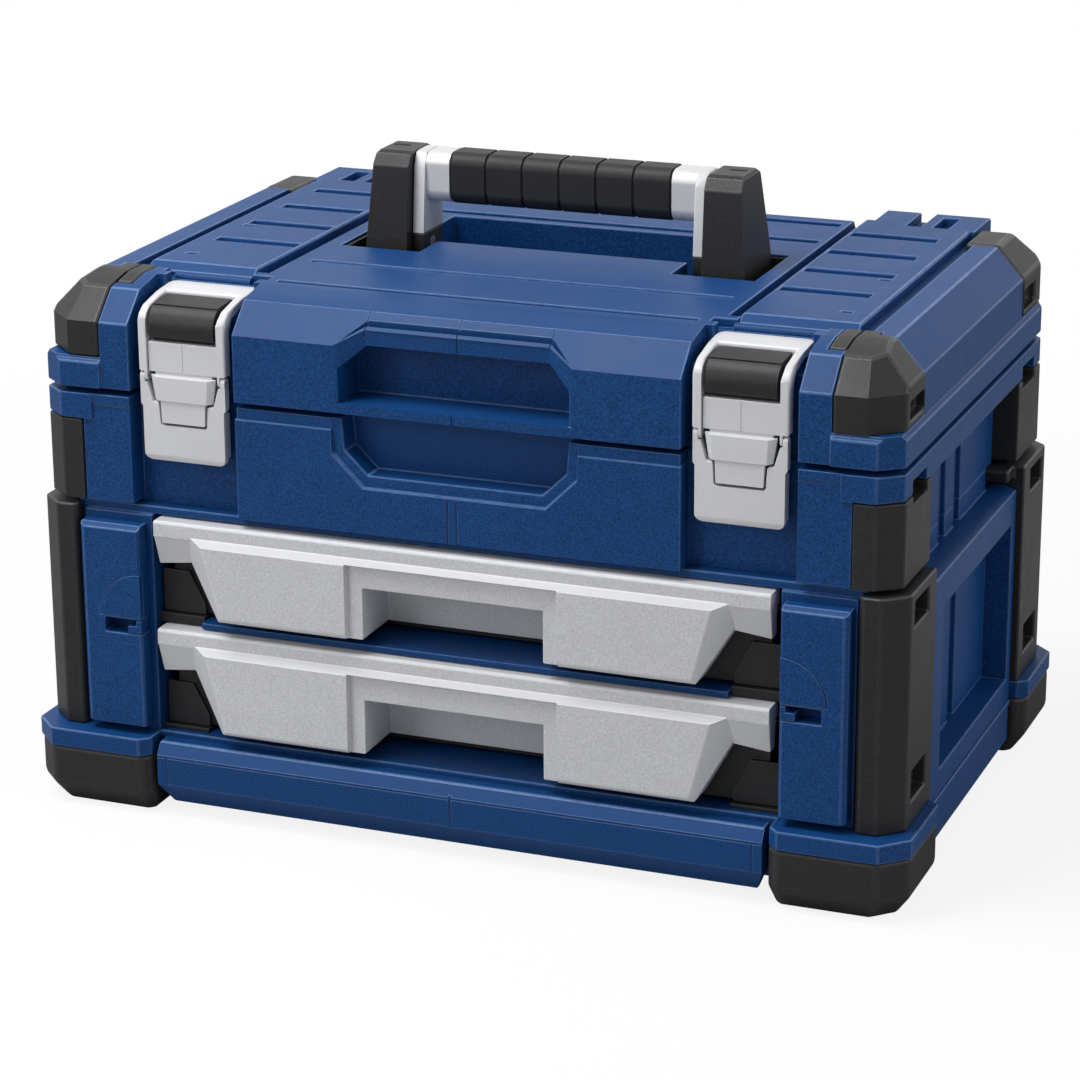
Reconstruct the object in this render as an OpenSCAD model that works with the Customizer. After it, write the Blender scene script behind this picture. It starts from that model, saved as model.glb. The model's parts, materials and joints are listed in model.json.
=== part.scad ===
// Portable tool box: a case with a hinged lid on top of a housing with two drawers.
// Millimetres. X to the right, front towards -Y, Z up, origin at the bottom centre.

/* [Base] */
// Width over the corner feet
base_w = 450; // [420:2:480]
// Depth over the corner feet
base_d = 292; // [282:2:320]
// Height of the rubber part of a foot
foot_h = 30.6; // [24:0.2:32]
// Thickness of the blue corner flange on each foot
flange_t = 9.4; // [8:0.2:12]
// Length of a foot along the front
foot_len_x = 66; // [56:1:67]
// Length of a foot along the side
foot_len_y = 63; // [56:1:70]
// Corner cut of the feet
foot_cut = 12.6; // [8:0.2:18]
// Height of the bevel at the bottom of a foot
foot_bevel_h = 11; // [6:0.5:14]
// How far that bevel goes in
foot_bevel_in = 8.5; // [4:0.5:10]
// Height of the front rail above the floor
rail_z = 4.4; // [3:0.2:9]

/* [Drawers] */
// Height of the upper drawer front
front_h = 47; // [42:0.5:50]
// Height of the lower drawer front
low_front_h = 50; // [42:0.5:52]
// Half width of a drawer front
front_hw = 156.5; // [150:0.5:158]
// Height of the lip along the top of a drawer front
front_lip = 6.8; // [5:0.2:9]
// Space between the base and the lower drawer front
front_floor_gap = 5.2; // [4.8:0.2:7]
// Thickness of the shelf between the drawers
shelf_t = 3; // [2.4:0.2:4]
// Wall thickness of a drawer tray
tray_wall = 2.2; // [1.6:0.2:3]
// Depth of a drawer tray
tray_len = 239; // [200:1:244]
// Travel of a drawer
drawer_travel = 180; // [120:5:200]

/* [Upper case] */
// How far the flange of the upper case stands in from the feet at the sides
case_inset_x = 9.8; // [8:0.2:12]
// How far the flange of the upper case stands in from the feet at the front
case_inset_y = 11.5; // [10:0.5:13]
// Height of the upper case, without its rim
case_h = 55.2; // [50:0.2:62]
// Height of the flange round the top of the upper case
case_flange = 12.6; // [10:0.2:15]
// Corner cut of the upper case along X
case_cut_x = 11; // [8:0.5:14]
// Corner cut of the upper case along Y
case_cut_y = 9; // [7:0.5:12]
// Wall thickness of the upper case
case_wall = 4; // [3:0.5:5]

/* [Lid] */
// Height of the lid
lid_h = 50.3; // [46:0.1:60]
// Gap between the case and the lid at the seam
seam_gap = 3; // [2:0.2:4]
// Height of the flange round the lid
lid_flange = 12.7; // [10:0.1:15]
// Thickness of the lid's top
lid_top_t = 7; // [6:0.5:9]
// How high the ladder panels stand above the top
ladder_rise = 1.5; // [0.6:0.1:2.5]
// Number of slots in a ladder panel
ladder_slots = 4; // [2:1:5]
// Distance between ladder slots
ladder_pitch = 39; // [30:1:40]

/* [Latches] */
// Distance of a latch from the middle
latch_x = 139.5; // [138:0.5:141]
// Width of a latch over its link frame
link_w = 46; // [44:0.5:47]
// Width of a link arm
link_arm = 4.4; // [4:0.1:5]
// Thickness of a link arm and of its eyes
link_t = 4.6; // [4:0.1:5]
// Height of a lever below its pins
lever_drop = 44; // [38:0.5:50]

/* [Handle] */
// Height of the handle above the lid
handle_h = 45.6; // [40:0.2:52]
// Half length of the grip
grip_hl = 58; // [52:0.5:62]
// Height of the grip's section
grip_sz = 26; // [22:0.5:28]
// Depth of the grip's section
grip_sy = 22; // [18:0.5:24]
// Number of ring grooves in the grip
grip_rings = 5; // [3:1:8]
// Radius of the steel tube in the grip
core_r = 7; // [5:0.5:9]
// Radius of the handle's pivot pins
pivot_r = 3; // [2.5:0.25:4]

/* [Clearances] */
// Running gap between moving parts
run_gap = 0.4; // [0.3:0.05:0.6]
// Radial clearance of a pin in its bore
pin_fit = 0.05; // [0.02:0.01:0.08]

/* [Hidden] */

eps = 0.01;
blue = "#27468c";
black = "#2a2b2d";
grey = "#c4c6c8";
silver = "#d5d7da";
steel = "#8d9196";

// ---- levels and half sizes worked out from the values above
base_hw = base_w / 2;
base_hd = base_d / 2;
z_base = foot_h + flange_t;
case_hw = base_hw - case_inset_x;
case_hd = base_hd - case_inset_y;
wall_in = front_hw + 3;
tray_hw = wall_in - 6.5;
wall_t = 2.5;
z_low_front = z_base + front_floor_gap;
z_shelf = z_low_front + low_front_h + 0.7;
z_up_front = z_shelf + shelf_t + 4.7;
z_deck = z_up_front + front_h + 0.8;
deck_t = 4.1;
z_case = z_deck + deck_t;
z_case_top = z_case + case_h;
z_lid = z_case_top + seam_gap;
z_lid_top = z_lid + lid_h;
z_ladder = z_lid_top + ladder_rise;
z_handle = z_lid_top + handle_h;

// planes of the front, from the feet back
front_face = base_hd - 6.5;
pillar_front = base_hd - 6.2;
pillar_back = base_hd - 16;
shell_back = base_hd - 15;
column_hw = base_hw - 5.3;
column_hd = base_hd - 10;
column_back = base_hd - foot_len_y;
frame_hw = column_hw - 3.7;
side_floor = frame_hw - 16;
column_in = side_floor - 2.5;
tray_front = base_hd - 25;
core_front = case_hd - 13.5;
core_back = case_hd - 3.5;
panel_y = case_hd - 2;
in_front = core_front - 7;
in_back = core_back - case_wall;
in_hw = side_floor - case_wall;
pocket_hw = link_w / 2 + 4.5;
panel_hw = latch_x - pocket_hw;
block_in = latch_x + pocket_hw + 0.5;
bumper_in = side_floor - 6.7;
// grooves between raised panels, in the sides of the case and of the housing
panel_rise = 2.8;
groove_y = [8, 19.5];
rim_h = seam_gap - 0.3;

// ---- shapes shared by many parts
module bar(x, y, z) translate([x[0], y[0], z[0]]) cube([x[1] - x[0], y[1] - y[0], z[1] - z[0]]);
module run_x(x0, x1) translate([x0, 0, 0]) rotate([90, 0, 90]) linear_extrude(x1 - x0) children();
module run_y(y0, y1) translate([0, y1, 0]) rotate([90, 0, 0]) linear_extrude(y1 - y0) children();
module run_z(z0, z1) translate([0, 0, z0]) linear_extrude(z1 - z0) children();
// points along an arc, from angle a0 to a1
function arc(cx, cy, r, a0, a1, steps = 5) = [
  for (i = [0 : steps]) let (a = a0 + (a1 - a0) * i / steps) [cx + r * cos(a), cy + r * sin(a)]
];
// a half outline, and the same mirrored in x, about x = c
function mirrored(half, c) = concat(
  [for (p = half) [c + p[0], p[1]]], [for (i = [len(half) - 1 : -1 : 0]) [c - half[i][0], half[i][1]]]
);
module flip_x() {
  children();
  mirror([1, 0, 0]) children();
}
module side(s) {
  if (s > 0) children();
  else mirror([1, 0, 0]) children();
}
module depth(s) {
  if (s > 0) children();
  else mirror([0, 1, 0]) children();
}
module pin_x(x0, x1, y, z, r) translate([x0, y, z]) rotate([0, 90, 0]) cylinder(h = x1 - x0, r = r, $fn = 48);
module pin_y(y0, y1, x, z, r) translate([x, y0, z]) rotate([-90, 0, 0])
  cylinder(h = y1 - y0, r = r, $fn = 32);

// corner cut at the two ends of a foot and of its flange
foot_end = 5;
function cut_box(hx, hy, cx, cy) = [
  [-hx + cx, -hy], [hx - cx, -hy], [hx, -hy + cy], [hx, hy - cy],
  [hx - cx, hy], [-hx + cx, hy], [-hx, hy - cy], [-hx, -hy + cy]
];
// outline of one front corner: the outer corner is cut, and so are the two ends
function corner_plan(hx, hy, lx, ly, cut, end) = [
  [hx - lx + end, -hy], [hx - cut, -hy], [hx, -hy + cut], [hx, -hy + ly - end],
  [hx - end, -hy + ly], [hx - lx, -hy + ly], [hx - lx, -hy + end]
];

// ---- lower housing
module base_pan() {
  plate_hw = side_floor - 0.5;
  skirt = [frame_hw - 5, frame_hw + 1];
  beam_hw = front_hw - 6.5;
  front_beam_hw = base_hw - foot_len_x - 1;
  skirt_z = 10;
  color(blue) union() {
    bar([-plate_hw, plate_hw], [-pillar_back, shell_back + 3], [z_base - 3, z_base]);
    bar([-beam_hw, beam_hw], [shell_back - 1, shell_back + 3], [skirt_z, z_base - 3]);
    bar([-front_beam_hw, front_beam_hw], [-pillar_back, -pillar_back + 4], [skirt_z, z_base - 3]);
    for (d = [-1, 1]) depth(d) flip_x()
      run_z(foot_h, z_base)
        polygon(corner_plan(base_hw, base_hd, foot_len_x, foot_len_y, foot_cut, foot_end));
    flip_x() {
      bar([plate_hw - 3.5, plate_hw], [-column_back + 1.5, column_back - 1.5], [foot_h - 3, z_base - 3]);
      bar([plate_hw, skirt[1]], [-column_back + 1.5, column_back - 1.5], [foot_h - 3, foot_h]);
      bar(skirt, [-column_back + 5, column_back - 5], [skirt_z, foot_h - 3]);
    }
  }
}

// A beam between the front feet, cut back at the bottom, with a lighter edge along the top
module front_rail() {
  hw = front_hw - 0.5;
  color(blue) difference() {
    run_x(-hw, hw) polygon([
      [-pillar_back - 7.7, z_base - 2.4], [-pillar_back - 12, foot_h + 1], [-pillar_back - 12, rail_z + 12],
      [-pillar_back - 3, rail_z], [-pillar_back, rail_z], [-pillar_back, z_base - 2.4]
    ]);
    flip_x() run_y(-base_hd, -pillar_back + 1)
      polygon([[hw - 5, rail_z - 1], [hw + 1, rail_z - 1], [hw + 1, rail_z + 14]]);
    bar([-hw - 1, hw + 1], [-pillar_back - 13, -pillar_back - 11.4], [foot_h - 0.4, foot_h + 0.4]);
    bar([-0.6, 0.6], [-pillar_back - 13, -pillar_back - 11.4], [rail_z, z_base]);
    flip_x() bar([hw - 5.4, hw - 4.6], [-pillar_back - 13, -pillar_back - 11.4], [rail_z, foot_h]);
  }
}

module side_frame() {
  y = column_back - 0.4;
  z = [foot_h, z_case - 13];
  open_y = [-column_back + 29, column_back - 8];
  open_z = [z_base + 3.5, z_case - 29.5];
  difference() {
    run_y(-y, y) polygon([
      [side_floor, z[0]], [frame_hw, z[0]], [frame_hw, z[1]], [frame_hw - 6, z[1] + 2], [side_floor, z[1] + 2]
    ]);
    bar([side_floor, frame_hw + 1], open_y, open_z);
  }
  side_panels(open_y, open_z);
  side_panels([-y, y - 12], [z[1] + 1, z_case]);
}
// raised panels on a recessed side, with a groove to each side of the middle
module side_panels(y, z) {
  for (part = [[y[0], -groove_y[1]], [-groove_y[0], groove_y[0]], [groove_y[1], y[1]]])
    bar([side_floor - eps, side_floor + panel_rise], part, z);
}

module housing_shell() {
  side_t = 4;
  color(blue) union() {
    flip_x() {
      bar([side_floor - side_t, side_floor], [-pillar_back + 2, shell_back - 4], [z_base, z_case]);
      bar([side_floor - side_t - 3, side_floor - side_t], [shell_back - 11, shell_back + 3],
        [z_base, z_case]);
      side_frame();
      bar([wall_in, wall_in + wall_t], [-pillar_back, shell_back], [z_base, z_deck]);
      bar([wall_in + wall_t, side_floor - side_t], [-pillar_back, -pillar_back + 3], [z_base, z_deck]);
    }
    bar([-side_floor + side_t, side_floor - side_t], [-pillar_back + 2, shell_back + 3], [z_deck, z_case]);
    difference() {
      bar([-side_floor + side_t, side_floor - side_t], [shell_back, shell_back + 3], [z_base, z_deck]);
      bar([-panel_screw_x + 6, panel_screw_x - 6], [shell_back - 1, shell_back + 4],
        [z_base + 15, z_deck - 12]);
      for (x = [-panel_screw_x, 0, panel_screw_x], z = panel_screw_z)
        pin_y(shell_back - 1, shell_back + 4, x, z, screw_r + pin_fit);
    }
  }
}

panel_screw_x = front_hw - 0.5;
panel_screw_z = [z_base + 9, z_deck - 6.5];
screw_r = 1.5;
module rear_panel() {
  y0 = shell_back + 3;
  color(blue) difference() {
    union() {
      bar([-panel_screw_x - 12, panel_screw_x + 12], [y0, y0 + 2.5], [z_base + 4, z_deck - 2]);
      for (i = [-3 : 3]) translate([i * panel_screw_x / 4, 0, 0])
        bar([-3, 3], [y0 + 2.5, y0 + 4], [z_base + 18, z_deck - 15]);
    }
    for (x = [-panel_screw_x, 0, panel_screw_x], z = panel_screw_z)
      pin_y(y0 - 1, y0 + 4, x, z, screw_r + pin_fit);
  }
}
module rear_panel_screws() {
  y0 = shell_back + 3;
  color(steel) for (x = [-panel_screw_x, 0, panel_screw_x], z = panel_screw_z) difference() {
    union() {
      pin_y(shell_back - 2, y0 + 2.5, x, z, screw_r);
      pin_y(y0 + 2.5, y0 + 4.3, x, z, screw_r * 2.2);
    }
    bar([x - 2.2, x + 2.2], [y0 + 3.4, y0 + 5], [z - 0.4, z + 0.4]);
    bar([x - 0.4, x + 0.4], [y0 + 3.4, y0 + 5], [z - 2.2, z + 2.2]);
  }
}

module divider_shelf() {
  notch = ledge_in - 0.3;
  color(blue) difference() {
    bar([-wall_in, wall_in], [-pillar_back, shell_back], [z_shelf, z_shelf + shelf_t]);
    flip_x() bar([notch, wall_in + 1], [-pillar_back - 1, -ledge_back + 0.3],
      [z_shelf - 1, z_shelf + shelf_t + 1]);
  }
}

module foot() {
  inset = 0.6;
  color(black) hull() {
    run_z(foot_bevel_h, foot_h)
      polygon(corner_plan(base_hw - inset, base_hd - inset, foot_len_x, foot_len_y, foot_cut, foot_end));
    run_z(0, 1)
      polygon(corner_plan(base_hw - foot_bevel_in, base_hd - foot_bevel_in,
        foot_len_x - foot_bevel_in - 2, foot_len_y - foot_bevel_in - 2, foot_cut - 3, 3));
  }
}

slot_w = 24;
slot_deep = 7;
module column(rear) {
  top = z_case - 0.8;
  color(black) difference() {
    union() {
      run_z(z_base, top) polygon([
        [column_in, -column_hd + 2], [column_in + 2, -column_hd], [column_hw - 11.5, -column_hd],
        [column_hw, -column_hd + 10.5], [column_hw, -column_back], [side_floor, -column_back],
        [side_floor, -pillar_back + 2], [column_in, -pillar_back + 2]
      ]);
      if (rear) bar([side_floor, frame_hw - 2], [-column_back, -column_back + 12], [top - 6, top]);
    }
    // finger slots in the side, near both ends
    bar([column_hw - slot_deep, column_hw + 1], [-column_hd + 16, -column_hd + 16 + slot_w],
      [top - 17, top - 5]);
    bar([column_hw - slot_deep, column_hw + 1], [-column_hd + 18, -column_hd + 18 + slot_w],
      [z_base + 12, z_base + 27]);
  }
}

ledge_in = wall_in - 24.5;
ledge_back = tray_front - 11;

// ---- pillars beside the drawers
pillar_x = [wall_in + 3, side_floor - 5.5];
notch_z = [z_base + 52.3, z_base + 59.8];
notch_w = 20;
sector_r = 22;
module quarter(r) intersection() {
  circle(r = r, $fn = 64);
  square(r + 1);
}
module pillar() {
  z = [z_base + 4.3, z_deck - 4];
  color(blue) difference() {
    intersection() {
      run_z(z[0], z[1]) polygon([
        [pillar_x[0], -pillar_back], [pillar_x[0], -pillar_front + 1], [pillar_x[0] + 1, -pillar_front],
        [pillar_x[1] - 2, -pillar_front], [pillar_x[1], -pillar_front + 2], [pillar_x[1], -pillar_back]
      ]);
      run_x(pillar_x[0] - 1, pillar_x[1] + 1) polygon([
        [-pillar_back + 1, z[0]], [-pillar_front, z[0]], [-pillar_front, z[1] - 2],
        [-pillar_front + 3, z[1]], [-pillar_back + 1, z[1]]
      ]);
    }
    bar([pillar_x[0] - 1, pillar_x[0] + notch_w], [-pillar_front - 1, -pillar_back + 1], notch_z);
    translate([pillar_x[0], 0, notch_z[1] + 1]) run_y(-pillar_front - 1, -pillar_front + 3)
      quarter(sector_r + 0.4);
  }
}
module lock_sectors() color(blue) flip_x()
  translate([pillar_x[0] + 0.2, 0, notch_z[1] + 1.2]) run_y(-pillar_front - 0.4, -pillar_front + 3)
    quarter(sector_r);

tab_travel = 9;
module lock_tab() color(blue) union() {
  bar([pillar_x[0] + 0.4, pillar_x[0] + 7.5], [-pillar_front, -pillar_back - run_gap],
    [notch_z[0] + 0.3, notch_z[0] + 4.2]);
  bar([pillar_x[0] + 0.4, pillar_x[0] + 3], [-pillar_front, -pillar_back - run_gap],
    [notch_z[0] + 4.2, notch_z[1] - 0.4]);
}

// ---- drawers; the two drawers differ only in height above the base
tray_back = -tray_front + tray_len;
pocket_x = 50;
tray_rise = 2.6;
module tray(z_front, h) {
  z0 = z_front - tray_rise;
  z1 = z_front + h - 4.6;
  lip_z = z1 - 7.5;
  front = -tray_front;
  color(black) difference() {
    union() {
      bar([-tray_hw, tray_hw], [front, tray_back], [z0, z1]);
      flip_x() bar([tray_hw - eps, wall_in - 1], [front, tray_back], [lip_z, lip_z + 2.5]);
      // dark corner plates behind the cut-outs of the front
      flip_x() run_y(front - 2.5, front) polygon([
        [ledge_in + 0.5, z0], [tray_hw + 5, z0], [tray_hw + 5, z_front + 19],
        [ledge_in + 9, z_front + 19], [ledge_in + 0.5, z_front + 3]
      ]);
    }
    difference() {
      bar([-tray_hw + tray_wall, tray_hw - tray_wall], [front + tray_wall, tray_back - tray_wall],
        [z0 + tray_wall, z1 + 1]);
      bar([-pocket_x, pocket_x], [front - 1, front + 19], [z0 - 1, z_front + hollow_roof * h + 3.7]);
    }
    bar([-pocket_x + 2, pocket_x - 2], [front - 1, front + 17], [z0 - 1, z_front + hollow_roof * h + 1.7]);
  }
}

hollow_hw = 53.8;
hollow_in = 45.8;
hollow_roof = 0.55;
slant_x = front_hw - 27.4;
slant_low_x = front_hw - 35;
wing_x = front_hw - 18.8;
lip_y = front_face - 4.3;
module slant_cut(z_front, h) {
  // facet along each slanted end of the front
  translate([slant_x, -front_face, z_front + h - 9.4]) rotate([0, 14.75, 0]) translate([0, 0, -60])
    linear_extrude(90) polygon([[0, -4], [26, -4], [26, 17.4], [0, 0]]);
}
module drawer_front(z0, h) {
  z1 = z0 + h;
  roof = hollow_roof * h;
  band = z1 - front_lip;
  back = -tray_front;
  color(grey) difference() {
    union() {
      // lip along the top
      run_x(-front_hw, front_hw) polygon([
        [back, band - 1], [-lip_y, band - 1], [-lip_y, z1 - 1], [-lip_y + 1, z1], [back, z1]
      ]);
      // receding wings
      flip_x() intersection() {
        run_x(slant_x - 20, front_hw) polygon([
          [back - 3, band], [-lip_y, band], [-lip_y + 4.7, z1 - 23], [back - 3, z1 - 23]
        ]);
        run_y(-front_face, back) polygon([
          [slant_x - 20, band], [front_hw, band], [front_hw - 0.5, z1 - 23],
          [wing_x, z1 - 20.6], [slant_x - 20, z1 - 20.6]
        ]);
      }
      // main panel
      difference() {
        intersection() {
          run_x(-wing_x - 5, wing_x + 5) polygon([
            [back, band], [-lip_y, band], [-front_face, band - 2.8],
            [-front_face, z0 + 2], [-front_face + 2, z0], [back, z0]
          ]);
          run_y(-front_face - 5, back) polygon([
            [-wing_x - 3.3, band], [-wing_x, z1 - 20.6], [-slant_low_x, z0],
            [slant_low_x, z0], [wing_x, z1 - 20.6], [wing_x + 3.3, band]
          ]);
        }
        flip_x() slant_cut(z0, h);
        bar([-slant_low_x + 13, slant_low_x - 13], [-front_face + 8, back + 1], [z0 - 1, band - 6]);
      }
      // finger hollow
      bar([-pocket_x + 2.3, pocket_x - 2.3], [-front_face + 4, back + 16.7], [z0, z0 + roof + 1.4]);
    }
    run_y(-front_face - 1, -front_face + 4.2) polygon([
      [-hollow_hw, z0 - 1], [-hollow_hw, z1 - 9.3], [hollow_hw, z1 - 9.3], [hollow_hw, z0 - 1]
    ]);
    bar([-hollow_in, hollow_in], [-front_face - 1, back + 14.7], [z0 - 1, z0 + roof]);
  }
  // bevelled frame round the hollow
  color(grey) difference() {
    run_y(-front_face + 3.2, -front_face + 8) polygon([
      [-hollow_hw - 1, z0], [-hollow_hw - 1, z1 - 9], [hollow_hw + 1, z1 - 9], [hollow_hw + 1, z0]
    ]);
    bar([-hollow_in, hollow_in], [-front_face - 1, back], [z0 - 1, z0 + roof]);
  }
}

module drawer_runners() {
  color(black) flip_x() for (z = [z_low_front, z_up_front]) {
    lip = z + (z > z_shelf ? front_h : low_front_h) - 4.6 - 7.5;
    bar([tray_hw + 1, wall_in], [-ledge_back, tray_back - 4], [lip - 7, lip - run_gap]);
    front_z = z > z_shelf ? z_shelf : z_base;
    bar([ledge_in, wall_in], [-tray_front - 5, -ledge_back], [front_z, z - tray_rise - run_gap]);
  }
}

// ---- upper case
hinge_y = case_hd + 5;
hinge_z = z_case_top + seam_gap / 2;
hinge_r = 6.2;
hinge_pin_r = 2;
hinge_x = [latch_x - 11.5, latch_x + 47.5];
knuckle = [hinge_x[0] + 18.2, hinge_x[1] - 18.2];
module front_hollow_cut(z0) {
  // finger hollow in the upper part of the case's front panel, open at the top
  run_y(-case_hd, -core_front + 3) polygon([
    [-57.5, z0 + 60], [-55.6, z0 + 39.7], [-44, z0 + 28.5], [44, z0 + 28.5], [55.6, z0 + 39.7],
      [57.5, z0 + 60]
  ]);
  run_y(-case_hd, -panel_y + 2) polygon([
    [-62, z0 + 60], [-61.5, z0 + 38], [-45.8, z0 + 22.5], [45.8, z0 + 22.5], [61.5, z0 + 38], [62, z0 + 60]
  ]);
}
module body_bumper_plan(back) difference() {
  polygon([
    [bumper_in, -case_hd + 0.5], [case_hw - case_cut_x, -case_hd + 0.5],
      [case_hw + 0.4, -case_hd + case_cut_y + 0.5],
    [case_hw + 0.4, -case_hd + 52.5], [bumper_in, -case_hd + 52.5]
  ]);
  translate([0, -back]) square([side_floor, 300]);
  translate([bumper_in - 1, -core_front - 4]) square([side_floor - bumper_in + 1, 10]);
}
module upper_body() {
  lip = z_case_top - 5.4;
  color(blue) difference() {
    union() {
      bar([-side_floor, side_floor], [-core_front, core_back], [z_case, z_case_top]);
      // flange, full round except over the front panel and the pockets
      difference() {
        run_z(z_case_top - case_flange, z_case_top)
          polygon(cut_box(case_hw, case_hd, case_cut_x, case_cut_y));
        bar([-block_in - 20, block_in + 20], [-case_hd - 1, -core_front], [z_case, z_case_top + 1]);
      }
      // front panel with a ledge along the top
      bar([-panel_hw, panel_hw], [-panel_y, -core_front], [z_case, lip]);
      bar([-panel_hw + 0.6, panel_hw - 0.6], [-panel_y + 1.3, -core_front], [lip, z_case_top]);
      // corner blocks, front and rear
      flip_x() {
        bar([block_in, bumper_in - 0.3], [-panel_y - 0.5, -core_front], [z_case + 1.5, lip]);
        bar([block_in, bumper_in - 0.3], [-panel_y - 1.1, -core_front], [lip + 0.6, z_case_top]);
        bar([block_in, bumper_in - 0.3], [-panel_y + 0.1, -core_front], [lip, lip + 0.6]);
        bar([bumper_in - 1, side_floor], [-core_front - 4, -core_front],
          [z_case + 1.5, z_case_top - case_flange]);
        bar([block_in, bumper_in - 0.3], [core_back, panel_y + 0.5],
          [z_case + 1.5, z_case_top - case_flange]);
      }
      flip_x() side_panels([-case_hd + 52.8, case_hd - 52.8], [z_case, z_case_top - case_flange]);
      // rim that the lid sits on
      bar([-case_hw + 4.2, case_hw - 4.2], [-in_front - 3, case_hd - 4], [z_case_top, z_case_top + rim_h]);
      // hinge knuckles
      for (x = [[hinge_x[0], knuckle[0] - 0.3], [knuckle[1] + 0.3, hinge_x[1]]]) flip_x() {
        pin_x(x[0], x[1], hinge_y, hinge_z, hinge_r);
        run_x(x[0], x[1]) polygon([
          [core_back, z_case_top - 26], [hinge_y, hinge_z - hinge_r], [hinge_y, hinge_z],
          [case_hd - 1, hinge_z - 1], [core_back, z_case_top - 1]
        ]);
      }
    }
    bar([-in_hw, in_hw], [-in_front, in_back], [z_case + case_wall, z_lid + 1]);
    front_hollow_cut(z_case);
    for (x = [-3.5, 1]) bar([x, x + 0.9], [-panel_y - 1, -panel_y + 0.7], [z_case - 1, z_case + 21]);
    // room for the lid's knuckles
    flip_x() {
      pin_x(knuckle[0], knuckle[1], hinge_y, hinge_z, hinge_r + 0.6);
      pin_x(hinge_x[0] - 1, hinge_x[1] + 1, hinge_y, hinge_z, hinge_pin_r + pin_fit);
    }
    // finger slots in the flange's corners
    for (d = [-1, 1]) depth(d) flip_x()
      bar([case_hw - slot_deep, case_hw + 1], case_slot_y, [z_case_top - 17.5, z_case_top - 6.5]);
  }
}
case_slot_y = [-case_hd + 21.5, -case_hd + 45];
module body_bumper(back) color(black) difference() {
  run_z(z_case + 1.6, z_case_top - case_flange - 0.6) body_bumper_plan(back);
  bar([case_hw - slot_deep, case_hw + 1], case_slot_y, [z_case_top - 17.5, z_case_top]);
}

module latch_strikes() color(steel) flip_x()
  run_x(latch_x - 8, latch_x + 8) polygon([
    [-core_front, strike_z - 2], [-core_front - 3, strike_z - 0.5], [-core_front - 3, strike_z + 4],
      [-core_front, strike_z + 5]
  ]);

module hinge_pins() color(steel) flip_x()
  pin_x(hinge_x[0] + 0.5, hinge_x[1] - 0.5, hinge_y, hinge_z, hinge_pin_r);

// ---- lid
pivot_y = 14;
pivot_z = z_lid_top - 2;
grip_y = 17;
leg_x = [grip_hl + 12.8, grip_hl + 18.8];
post_in = leg_x[1] + run_gap;
post_mid = leg_x[1] + 11.7;
post_screw_y = [5, 32];
well_x = leg_x[1] + 2.7;
well_y = [grip_y - 8, pivot_y + handle_h + 3.4];
well_floor = z_lid_top - 24;
post_x = [leg_x[0] - 4.8, post_mid + 19.5];
post_y = [-15, 40];
chamfer_z = z_lid + 33.5;
link_y = -case_hd + 39.3;
link_z = z_lid_top - 6.8;
pad_wall = case_hd - 16.5;
wall_y = case_hd - 1.5;
lid_side = case_hw - 2;
strip_x = lid_side - 13.7;
lid_bumper_x = case_hw - 32.6;
lid_bumper_top = lid_bumper_x - 8.6;
ladder_x = [latch_x - 16.5, lid_bumper_x - 2.6];
recess_hw = 59.5;

module lid_form(inset) {
  intersection() {
    run_z(z_lid, z_ladder) polygon(cut_box(case_hw - inset, case_hd - inset, case_cut_x, case_cut_y));
    run_y(-case_hd - 9, case_hd + 9) polygon([
      [-case_hw + inset, z_lid - 1], [case_hw - inset, z_lid - 1], [case_hw - inset, z_lid + lid_flange],
      [lid_side - inset, z_lid + lid_flange + 2], [lid_side - inset, chamfer_z + 1.5 - inset * 0.4],
      [strip_x - inset * 0.4, z_lid_top - inset], [-strip_x + inset * 0.4, z_lid_top - inset],
      [-lid_side + inset, chamfer_z + 1.5 - inset * 0.4], [-lid_side + inset, z_lid + lid_flange + 2],
      [-case_hw + inset, z_lid + lid_flange]
    ]);
    run_x(-case_hw - 9, case_hw + 9) polygon([
      [-case_hd + inset, z_lid - 1], [-case_hd + inset, z_lid + lid_flange],
      [-wall_y + inset, z_lid + lid_flange + 1.5], [-wall_y + inset, chamfer_z - 0.8 - inset * 0.4],
      [-wall_y + 14.5 + inset * 0.4, z_lid_top - 3.5 - inset], [-wall_y + 33, z_lid_top - inset],
      [wall_y - 11 - inset * 0.4, z_lid_top - inset],
      [wall_y - inset, chamfer_z + 1.5], [wall_y - inset, z_lid + lid_flange + 1.5],
      [case_hd - inset, z_lid + lid_flange], [case_hd - inset, z_lid - 1]
    ]);
  }
}
bumper_t = 5;
lid_bumper_y = case_hd - 43;
tongue_y = [-case_hd + 22, -case_hd + 49];
module lid_bumper_zone(gap) {
  // corner block, and a tongue of the bumper that reaches further in over the top
  for (d = [-1, 1]) depth(d) flip_x()
    bar([lid_bumper_x - gap, case_hw + 9], [-case_hd - 9, -lid_bumper_y + gap],
      [z_lid + lid_flange + 2.6 - gap, z_ladder + 5]);
  flip_x() bar([lid_bumper_top - gap, lid_bumper_x + 9], [tongue_y[0] - gap, tongue_y[1] + gap],
    [z_lid_top - bumper_t - gap, z_ladder + 5]);
}
cavity_hw = lid_side - 5.2;
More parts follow.
